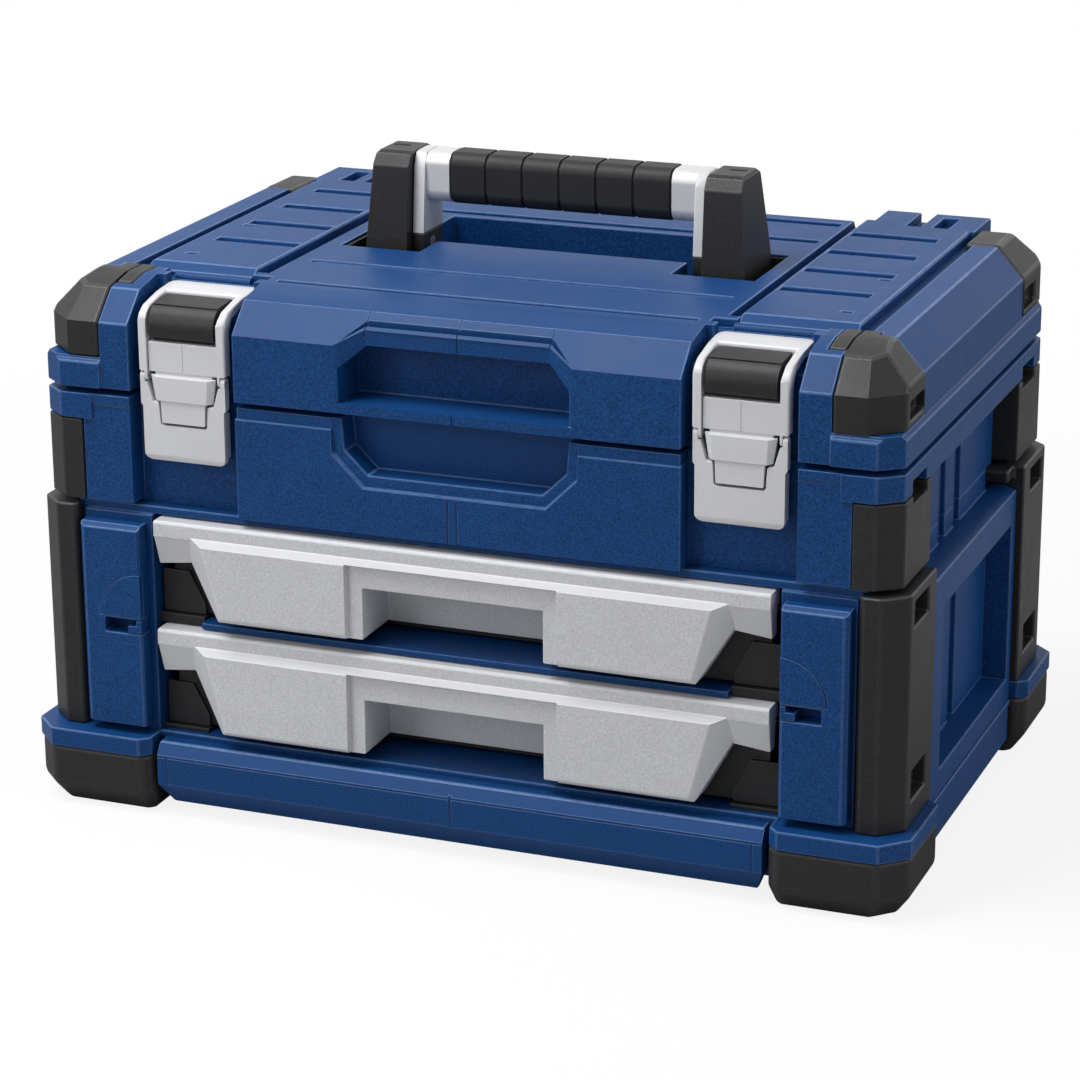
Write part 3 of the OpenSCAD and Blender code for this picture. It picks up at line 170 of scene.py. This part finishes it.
# what all mouldings share: noise scales, where a face counts as upright, and how grain and the painted edge
# highlight show
mouldedLook = {
    "driftScale": 9, "cloudScale": 70, "cloudRough": 0.6, "grainRough": 0.65, "upright": (0.75, 0.98),
    "highlightScale": 240, "highlightPatches": (0.25, 0.6), "highlightLeast": 0.6, "highlightRise": (0.05, 0.6), "highlightBelow": 0.3,
    "driftShare": 0.3, "cloudShare": 0.2, "toneBase": 0.25, "cloudRoughness": 0.12, "grainRoughness": 0.2,
    "cloudDepth": 0.35,
}


# moulded plastic and rubber: eroded grain, strongest on the upright faces, and a painted highlight that makes the
# rolled edges paler, most where they face up
def moulded(name, spec):
    look = mouldedLook
    finish = Finish(name)
    rise = finish.axis(finish.facing, "Z")
    upright = (1 - rise.size()).ramp(*look["upright"])
    drift = finish.noise(look["driftScale"], 3)
    cloud = finish.noise(look["cloudScale"], 3, look["cloudRough"])
    grain = finish.noise(spec["grain"], 2, look["grainRough"])
    # the painted edge highlight: a paler colour on the rolled edges, in patches and strongest on edges facing up;
    # these edges are also a little glossier
    patches = finish.noise(look["highlightScale"], 3, look["cloudRough"]).ramp(*look["highlightPatches"])
    patches = patches * (1 - look["highlightLeast"]) + look["highlightLeast"]
    above = rise.ramp(*look["highlightRise"]) * (1 - look["highlightBelow"]) + look["highlightBelow"]
    paintedHighlight = finish.edgeStrip() * patches * above
    depth = upright * (1 - spec["smoothTop"]) + spec["smoothTop"]
    speckle = (grain - 0.5) * depth
    tone = drift * look["driftShare"] + cloud * look["cloudShare"] + look["toneBase"] + speckle * spec["speckle"]
    dark, pale = (shaded(spec["colour"], 1 + way * spec["contrast"]) for way in (-1, 1))
    uneven = (cloud - 0.5) * look["cloudRoughness"] + speckle * look["grainRoughness"]
    # on the edge strips, the colour is a painted highlight mixed over the grain's tone
    finish.feed(finish.shader, {
        "Base Color": finish.mixed(paintedHighlight * spec["wear"], finish.mixed(tone, dark, pale), spec["highlightColour"]),
        "Roughness": spec["roughness"] + uneven - paintedHighlight * spec["polish"],
        "Specular IOR Level": spec["gloss"],
        "Normal": finish.bump(grain * depth + cloud * look["cloudDepth"], spec["grainDepth"] * mm),
    })
    return finish.material


# each finish's pale edge colour and its share are a painted highlight on the rolled edges
blueSpec = {
    "colour": (0.0042, 0.0440, 0.160), "highlightColour": (0.15, 0.25, 0.48), "contrast": 0.47, "speckle": 3.8,
    "wear": 0.55, "grain": 1500, "grainDepth": 0.10, "smoothTop": 0.25, "roughness": 0.46, "gloss": 0.17,
    "polish": 0.12,
}
blackSpec = {
    "colour": (0.0145, 0.0145, 0.0158), "highlightColour": (0.11, 0.11, 0.115), "contrast": 0.35, "speckle": 2.4,
    "wear": 0.3, "grain": 1100, "grainDepth": 0.11, "smoothTop": 0.8, "roughness": 0.44, "gloss": 0.25,
    "polish": 0.10,
}
footSpec = {
    "colour": (0.0150, 0.0150, 0.0165), "highlightColour": (0.09, 0.09, 0.095), "contrast": 0.35, "speckle": 2.4,
    "wear": 0.3, "grain": 950, "grainDepth": 0.13, "smoothTop": 0.9, "roughness": 0.58, "gloss": 0.25,
    "polish": 0.05,
}
gripSpec = {
    "colour": (0.0135, 0.0135, 0.0145), "highlightColour": (0.09, 0.09, 0.093), "contrast": 0.30, "speckle": 1.6,
    "wear": 0.5, "grain": 1500, "grainDepth": 0.08, "smoothTop": 1.0, "roughness": 0.50, "gloss": 0.25,
    "polish": 0.08,
}
drawerSpec = {
    "colour": (0.530, 0.535, 0.560), "highlightColour": (0.80, 0.80, 0.82), "contrast": 0.18, "speckle": 2.4,
    "wear": 0.5, "grain": 1400, "grainDepth": 0.09, "smoothTop": 0.15, "roughness": 0.48, "gloss": 0.25,
    "polish": 0.12,
}
latchSpec = {
    "colour": (0.585, 0.590, 0.610), "highlightColour": (0.70, 0.70, 0.72), "contrast": 0.08, "speckle": 1.2,
    "wear": 0.5, "grain": 1400, "grainDepth": 0.03, "smoothTop": 0.5, "roughness": 0.33, "gloss": 0.3,
    "polish": 0.08,
}


# satin silver paint on the handle's elbows
def silverPaint(name, spec):
    finish = Finish(name)
    flake = finish.noise(spec["flake"], 2, 0.7)
    cloud = finish.noise(spec["cloud"], 3)
    # the rolled edges get a paler colour: a painted highlight
    paintedHighlight = finish.edgeStrip()
    dark, pale = (shaded(spec["colour"], factor) for factor in spec["shades"])
    body = finish.mixed(flake * 0.6 + cloud * 0.4, dark, pale)
    finish.feed(finish.shader, {
        "Base Color": finish.mixed(paintedHighlight * spec["wear"], body, spec["highlightColour"]),
        "Metallic": spec["metallic"],
        "Roughness": spec["roughness"] + (cloud - 0.5) * spec["uneven"] - paintedHighlight * spec["polish"],
        "Normal": finish.bump(flake + cloud, spec["depth"] * mm),
    })
    return finish.material


# the pale edge colour and its share are a painted highlight on the rolled edges
silverSpec = {
    "colour": (0.60, 0.60, 0.61), "highlightColour": (0.74, 0.74, 0.75), "shades": (0.92, 1.06), "wear": 0.4,
    "flake": 2200, "cloud": 60, "depth": 0.02, "metallic": 0.25, "roughness": 0.34, "uneven": 0.15,
    "polish": 0.06,
}


# brushed steel: fine lines along X
def brushedSteel(name, spec):
    finish = Finish(name)
    stretched = {"Vector": finish.place, "Scale": spec["stretch"]}
    drawn = finish.node("ShaderNodeMapping", {"vector_type": "POINT"}, stretched)
    lines = finish.noise(spec["lines"], 3, 0.6, drawn)
    stain = finish.noise(spec["stain"], 3)
    dark, pale = (shaded(spec["colour"], factor) for factor in spec["shades"])
    finish.feed(finish.shader, {
        "Base Color": finish.mixed(stain * 0.5 + lines * 0.5, dark, pale),
        "Metallic": 1.0,
        "Roughness": spec["roughness"] + (lines - 0.5) * spec["uneven"],
        "Normal": finish.bump(lines, spec["depth"] * mm),
    })
    return finish.material


steelSpec = {
    "colour": (0.5, 0.51, 0.52), "shades": (0.8, 1.15), "stretch": (0.08, 1.0, 1.0), "lines": 900,
    "stain": 110, "depth": 0.02, "roughness": 0.34, "uneven": 0.2,
}

finishes = {
    "blue_plastic": moulded("bluePlastic", blueSpec),
    "black_plastic": moulded("blackPlastic", blackSpec),
    "foot_rubber": moulded("footRubber", footSpec),
    "grip_rubber": moulded("gripRubber", gripSpec),
    "drawer_front_grey": moulded("drawerFrontGrey", drawerSpec),
    "latch_grey": moulded("latchGrey", latchSpec),
    "handle_silver": silverPaint("handleSilver", silverSpec),
    "steel": brushedSteel("brushedSteel", steelSpec),
}
print("finishes made:", ", ".join(finishes))


def camelName(node):
    first, *rest = node.split("_")
    return first + "".join(word.capitalize() for word in rest)


# limits for merging the CAD's triangles, rolling the sharp edges and filling pinched flats: weld, sliver,
# bulgeSlack, wideRadius and level in mm, angles in degrees, leastArea in square metres; nearby, strayed and
# bulged are multiples of the radius, share is of the room, missed is of the area, and folded, pinched and
# parallel are cosines between normals
rolling = {
    "weld": 0.002, "sliver": 0.001, "flatAngle": 0.6, "cornerAngle": 4, "sharpAngle": 24, "creaseAngle": 32,
    "nearby": 2.5, "share": 0.42, "strayed": 0.6, "bulged": 0.34, "bulgeSlack": 0.02, "folded": 0.2,
    "attempts": 5, "wideRadius": 1.2, "leastArea": 1e-9, "pinched": 0.5, "level": 0.004, "parallel": 0.9999,
    "missed": 0.01,
}
# larger than any length of the part, in metres: an edge with no near neighbour
farAway = 1.0
# pieces whose flats keep the CAD's own triangles, because merged they would pinch beside a slot
unmerged = {"lid_bumper_front_left"}


# the node's own shape, welded, with the triangles of each flat merged
def mergedShape(node):
    bm = bmesh.new()
    bm.from_mesh(nodes[node].data)
    bmesh.ops.remove_doubles(bm, verts=bm.verts, dist=rolling["weld"] * mm)
    bmesh.ops.dissolve_degenerate(bm, edges=bm.edges, dist=rolling["sliver"] * mm)
    if node not in unmerged:
        bmesh.ops.dissolve_limit(
            bm, angle_limit=math.radians(rolling["flatAngle"]), use_dissolve_boundaries=False,
            verts=bm.verts, edges=bm.edges, delimit=set(),
        )
    for face in bm.faces:
        face.smooth = True
    return bm


# how much of the full radius each sharp edge has room for: it stays clear of the far side of both its faces
def edgeRoom(bm, width):
    weights = bm.edges.layers.float.new("bevel_weight_edge")
    corners = {edge for edge in bm.edges if edge.calc_face_angle(0) > math.radians(rolling["cornerAngle"])}
    room = {}
    for edge in corners:
        for vert in edge.verts:
            room[vert] = min(room.get(vert, farAway), edge.calc_length())
    across = dict.fromkeys(corners, farAway)
    for face in bm.faces:
        sides = [edge for edge in face.edges if edge in corners]
        if len(face.verts) < 5 or not sides:
            continue
        points = np.array([vert.co for vert in face.verts])
        starts = np.array([edge.verts[0].co for edge in sides])
        spans = np.array([edge.verts[1].co for edge in sides]) - starts
        along = np.einsum("pek,ek->pe", points[:, None] - starts, spans) / (spans**2).sum(1)
        feet = starts + np.clip(along, 0, 1)[..., None] * spans
        gaps = np.linalg.norm(points[:, None] - feet, axis=2)
        inner = gaps + ((along <= 0.001) | (along >= 0.999)) * farAway
        own = np.array([[vert in edge.verts for edge in sides] for vert in face.verts])
        inner[own] = farAway
        touching = {vert: [edge for edge in vert.link_edges if edge in across] for vert in face.verts}
        for row, vert in enumerate(face.verts):
            for column in np.flatnonzero(inner[row] < rolling["nearby"] * width):
                for edge in [sides[column]] + [edge for edge in touching[vert] if edge in sides]:
                    across[edge] = min(across[edge], float(inner[row, column]))
    for edge in corners:
        if edge.calc_face_angle(0) > math.radians(rolling["sharpAngle"]):
            least = min(min(room[vert] for vert in edge.verts), across[edge])
            edge[weights] = min(1.0, rolling["share"] * least / width)


# places where a rolled edge left its surface or folded over
def spoiled(rolled, surface, width):
    rolled.calc_loop_triangles()
    spots = []
    for vert in rolled.vertices:
        near, normal, _, gap = surface.find_nearest(vert.co)
        outside = (vert.co - near).dot(normal) > 0
        bulged = outside and gap > rolling["bulged"] * width + rolling["bulgeSlack"] * mm
        if bulged or gap > rolling["strayed"] * width:
            spots.append(vert.co.copy())
    for corner in rolled.loop_triangles:
        polygon = rolled.polygons[corner.polygon_index]
        folded = corner.normal.dot(polygon.normal) < rolling["folded"]
        if folded and polygon.material_index == 1 and corner.area > rolling["leastArea"]:
            spots.extend(rolled.vertices[index].co.copy() for index in corner.vertices)
    return spots


# the edges rolled by a bevel, which is tried again with smaller radii near each spoiled place
def rollEdges(node, slotName, radius):
    width = radius * mm
    bm = mergedShape(node)
    surface = BVHTree.FromBMesh(bm)
    edgeRoom(bm, width)
    weights = bm.edges.layers.float["bevel_weight_edge"]
    mesh = bpy.data.meshes.new(camelName(node))
    for _ in range(2):
        mesh.materials.append(finishes[slotName])
    piece = bpy.data.objects.new(camelName(node), mesh)
    scene.collection.objects.link(piece)
    bevel = piece.modifiers.new("roll", "BEVEL")
    bevel.limit_method = "WEIGHT"
    bevel.width = width
    bevel.segments = 3 if radius >= rolling["wideRadius"] else 2
    bevel.use_clamp_overlap = False
    bevel.loop_slide = False
    bevel.material = 1
    for attempt in range(rolling["attempts"]):
        bm.to_mesh(mesh)
        bpy.context.view_layer.update()
        dressed = piece.evaluated_get(bpy.context.evaluated_depsgraph_get())
        rolled = bpy.data.meshes.new_from_object(dressed)
        spots = spoiled(rolled, surface, width)
        if not spots or attempt == rolling["attempts"] - 1:
            break
        reach = KDTree(len(spots))
        for index, spot in enumerate(spots):
            reach.insert(spot, index)
        reach.balance()
        for edge in bm.edges:
            near = any(reach.find(vert.co)[2] < rolling["nearby"] * width for vert in edge.verts)
            if near and edge[weights] > 0:
                edge[weights] = 0 if attempt > 1 else edge[weights] * 0.5
    piece.modifiers.clear()
    piece.data = rolled
    bm.free()
    return piece


# every face of one flat region, found from any of its faces
def flatRegion(start):
    region, waiting = {start}, [start]
    while waiting:
        for edge in waiting.pop().edges:
            for other in edge.link_faces:
                rise = (other.verts[0].co - start.verts[0].co).dot(start.normal)
                level = abs(rise) < rolling["level"] * mm and other.normal.dot(start.normal) > rolling["parallel"]
                if level and other not in region and other.material_index == 0:
                    region.add(other)
                    waiting.append(other)
    return region


def insideOf(region, edge):
    return all(face in region for face in edge.link_faces)


# a flat region's outline filled with triangles, in a mesh of its own: the share of its area that is missed,
# and the corners of the triangles
def filled(region, facing):
    sheet = bmesh.new()
    own = {}
    for face in region:
        for edge in face.edges:
            if not insideOf(region, edge):
                for vert in edge.verts:
                    if vert not in own:
                        own[vert] = sheet.verts.new(vert.co)
                if sheet.edges.get([own[vert] for vert in edge.verts]) is None:
                    sheet.edges.new([own[vert] for vert in edge.verts])
    real = {made: vert for vert, made in own.items()}
    bmesh.ops.triangle_fill(sheet, use_beauty=True, use_dissolve=False, edges=sheet.edges, normal=facing)
    corners = [[real[vert] for vert in face.verts] for face in sheet.faces]
    area = sum(face.calc_area() for face in region)
    missed = abs(sum(face.calc_area() for face in sheet.faces) - area) / area
    sheet.free()
    return missed, corners


# a face pinched by its neighbours' edges is filled again, with its whole flat region or alone, whichever
# misses less of the area
def flatsRefilled(mesh):
    mesh.calc_loop_triangles()
    pinched = {
        corner.polygon_index for corner in mesh.loop_triangles
        if corner.area > rolling["leastArea"]
        and corner.normal.dot(mesh.polygons[corner.polygon_index].normal) < rolling["pinched"]
    }
    bm = bmesh.new()
    bm.from_mesh(mesh)
    bm.faces.ensure_lookup_table()
    taken = set()
    for face in [bm.faces[index] for index in pinched if bm.faces[index].material_index == 0]:
        if face in taken:
            continue
        facing = face.normal.copy()
        choices = [(*filled(faces, facing), faces) for faces in (flatRegion(face), {face})]
        missed, corners, faces = min(choices, key=lambda choice: choice[0])
        if missed > rolling["missed"]:
            print(mesh.name, "keeps a pinched flat, where a refill would miss", round(missed, 3), "of it")
            continue
        taken |= faces
        inside = {edge for item in faces for edge in item.edges if insideOf(faces, edge)}
        bmesh.ops.delete(bm, geom=list(faces), context="FACES_ONLY")
        bmesh.ops.delete(bm, geom=list(inside), context="EDGES")
        for trio in corners:
            made = bm.faces.get(trio) or bm.faces.new(trio)
            made.smooth = True
            made.normal_update()
            if made.normal.dot(facing) < 0:
                made.normal_flip()
    bmesh.ops.delete(bm, geom=[vert for vert in bm.verts if not vert.link_edges], context="VERTS")
    for edge in bm.edges:
        creased = edge.calc_face_angle(0) > math.radians(rolling["creaseAngle"])
        edge.smooth = not (len(edge.link_faces) == 2 and creased)
    bm.to_mesh(mesh)
    bm.free()


# the finished moulding: strips along rolled edges are marked for the material's painted edge highlight, flats
# stay flat in shading
def rounded(node, slotName, radius):
    piece = rollEdges(node, slotName, radius)
    mesh = piece.data
    flatsRefilled(mesh)
    strip = [0.0] * len(mesh.loops)
    for polygon in mesh.polygons:
        for loop in polygon.loop_indices:
            strip[loop] = float(polygon.material_index)
        polygon.material_index = 0
    mesh.attributes.new("edgeStrip", "FLOAT", "CORNER").data.foreach_set("value", strip)
    mesh.materials.clear()
    mesh.materials.append(finishes[slotName])
    mesh.name = camelName(node)
    lean = piece.modifiers.new("flatFaces", "WEIGHTED_NORMAL")
    lean.mode = "FACE_AREA"
    lean.weight = 100
    lean.keep_sharp = True
    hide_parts(node)
    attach(piece, bodyOf[node])


# radius of each moulding's edges in millimetres, by finish
bluePieces = {
    "base_pan": 0.9, "front_rail": 1.0, "housing_shell": 0.8, "divider_shelf": 0.4, "rear_panel": 0.5,
    "pillar_left": 0.8, "pillar_right": 0.8, "lock_sectors": 0.3, "lock_tab_left": 0.4, "lock_tab_right": 0.4,
    "upper_body": 0.8, "lid_shell": 0.8,
}
blackPieces = {
    "column_front_left": 1.2, "column_front_right": 1.2, "column_rear_left": 1.2, "column_rear_right": 1.2,
    "body_bumper_front_left": 1.0, "body_bumper_front_right": 1.0, "body_bumper_rear_left": 1.0,
    "body_bumper_rear_right": 1.0, "lid_bumper_front_left": 1.6, "lid_bumper_front_right": 1.6,
    "lid_bumper_rear_left": 2.2, "lid_bumper_rear_right": 2.2, "drawer_runners": 0.4, "tray_upper": 0.5,
    "tray_lower": 0.5, "latch_pad_left": 1.6, "latch_pad_right": 1.6, "handle_post_left": 0.7,
    "handle_post_right": 0.7, "handle_sockets": 0.4, "handle_knuckles": 0.6,
}
footPieces = {"foot_front_left": 2.2, "foot_front_right": 2.2, "foot_rear_left": 2.2, "foot_rear_right": 2.2}
gripPieces = {"handle_grip": 0.7}
drawerPieces = {"front_upper": 0.8, "front_lower": 0.8}
latchPieces = {
    "latch_base_left": 0.2, "latch_base_right": 0.2, "link_frame_left": 1.4, "link_frame_right": 1.4,
    "latch_lever_left": 1.0, "latch_lever_right": 1.0,
}
silverPieces = {"handle_elbow_left": 0.8, "handle_elbow_right": 0.8}
steelPieces = {
    "rear_panel_screws": 0.15, "latch_strikes": 0.3, "hinge_pins": 0.2, "link_pins": 0.2, "post_screws": 0.2,
    "handle_core": 0.3, "handle_pivot_pins": 0.3, "lever_pins_left": 0.15, "lever_pins_right": 0.15,
}
for slotName, group in {
    "blue_plastic": bluePieces, "black_plastic": blackPieces, "foot_rubber": footPieces,
    "grip_rubber": gripPieces, "drawer_front_grey": drawerPieces, "latch_grey": latchPieces,
    "handle_silver": silverPieces, "steel": steelPieces,
}.items():
    for node, radius in group.items():
        rounded(node, slotName, radius)
    print("rounded", len(group), "pieces in", slotName)


# studio: a white floor, a pale room and three soft lamps
def makeStudio(spec):
    floorMesh = bpy.data.meshes.new("studioFloor")
    bm = bmesh.new()
    bmesh.ops.create_grid(bm, x_segments=1, y_segments=1, size=spec["floorHalf"])
    bm.to_mesh(floorMesh)
    bm.free()
    floor = bpy.data.objects.new("studioFloor", floorMesh)
    scene.collection.objects.link(floor)
    paint = Finish("studioFloor")
    seen = paint.node("ShaderNodeLightPath", out="Is Camera Ray")
    away = paint.node("ShaderNodeVectorMath", {"operation": "LENGTH"}, {0: paint.place}, out="Value")
    # the floor shows white far off, and keeps a faint shadow near the part
    glowing = away.ramp(*spec["floorFade"]) * (1 - spec["floorGlow"]) + spec["floorGlow"]
    paint.feed(paint.shader, {
        "Base Color": paint.mixed(seen, spec["floorColour"], spec["floorSeen"]),
        "Roughness": spec["floorRoughness"], "Specular IOR Level": spec["floorGloss"],
    })
    glow = paint.node("ShaderNodeEmission", None, {"Color": (1.0, 1.0, 1.0), "Strength": 1.0})
    blend = paint.node("ShaderNodeMixShader", None, {
        0: seen * glowing, 1: Wire(paint, paint.shader.outputs[0]), 2: glow,
    })
    paint.tree.links.new(blend.socket, paint.tree.nodes["Material Output"].inputs["Surface"])
    floorMesh.materials.append(paint.material)

    world = bpy.data.worlds.new("studioRoom")
    world.use_nodes = True
    scene.world = world
    tree = world.node_tree
    room = tree.nodes["Background"]
    room.inputs["Color"].default_value = (*spec["roomColour"], 1)
    room.inputs["Strength"].default_value = spec["roomLight"]
    white = tree.nodes.new("ShaderNodeBackground")
    white.inputs["Color"].default_value = (1, 1, 1, 1)
    path = tree.nodes.new("ShaderNodeLightPath")
    choose = tree.nodes.new("ShaderNodeMixShader")
    either = tree.nodes.new("ShaderNodeMath")
    either.operation = "MAXIMUM"
    tree.links.new(path.outputs["Is Camera Ray"], either.inputs[0])
    tree.links.new(path.outputs["Is Glossy Ray"], either.inputs[1])
    tree.links.new(either.outputs[0], choose.inputs[0])
    tree.links.new(room.outputs[0], choose.inputs[1])
    tree.links.new(white.outputs[0], choose.inputs[2])
    tree.links.new(choose.outputs[0], tree.nodes["World Output"].inputs["Surface"])

    for name, lamp in spec["lamps"].items():
        light = bpy.data.lights.new(name, "AREA")
        light.shape = "RECTANGLE"
        light.size, light.size_y = lamp["size"]
        light.energy = lamp["power"]
        holder = bpy.data.objects.new(name, light)
        scene.collection.objects.link(holder)
        place = Vector(lamp["place"])
        turned = (Vector(spec["aim"]) - place).to_track_quat("-Z", "Y").to_matrix().to_4x4()
        holder.matrix_world = Matrix.Translation(place) @ turned
    print("studio ready")


studio = {
    "floorHalf": 6.0, "floorColour": (0.48, 0.48, 0.48), "floorSeen": (0.80, 0.80, 0.80), "floorGlow": 0.86,
    "floorFade": (0.35, 0.95), "floorRoughness": 0.9, "floorGloss": 0.1,
    "roomColour": (1.0, 1.0, 1.0), "roomLight": 0.36, "aim": (0, 0, 0.15),
    "lamps": {
        "topLamp": {"place": (-0.52, -0.47, 1.62), "size": (0.85, 0.85), "power": 25},
        "frontLamp": {"place": (-1.4, -2.0, 1.3), "size": (1.2, 1.2), "power": 16},
        "sideLamp": {"place": (2.1, -0.1, 0.9), "size": (1.0, 1.2), "power": 11.5},
    },
}
makeStudio(studio)
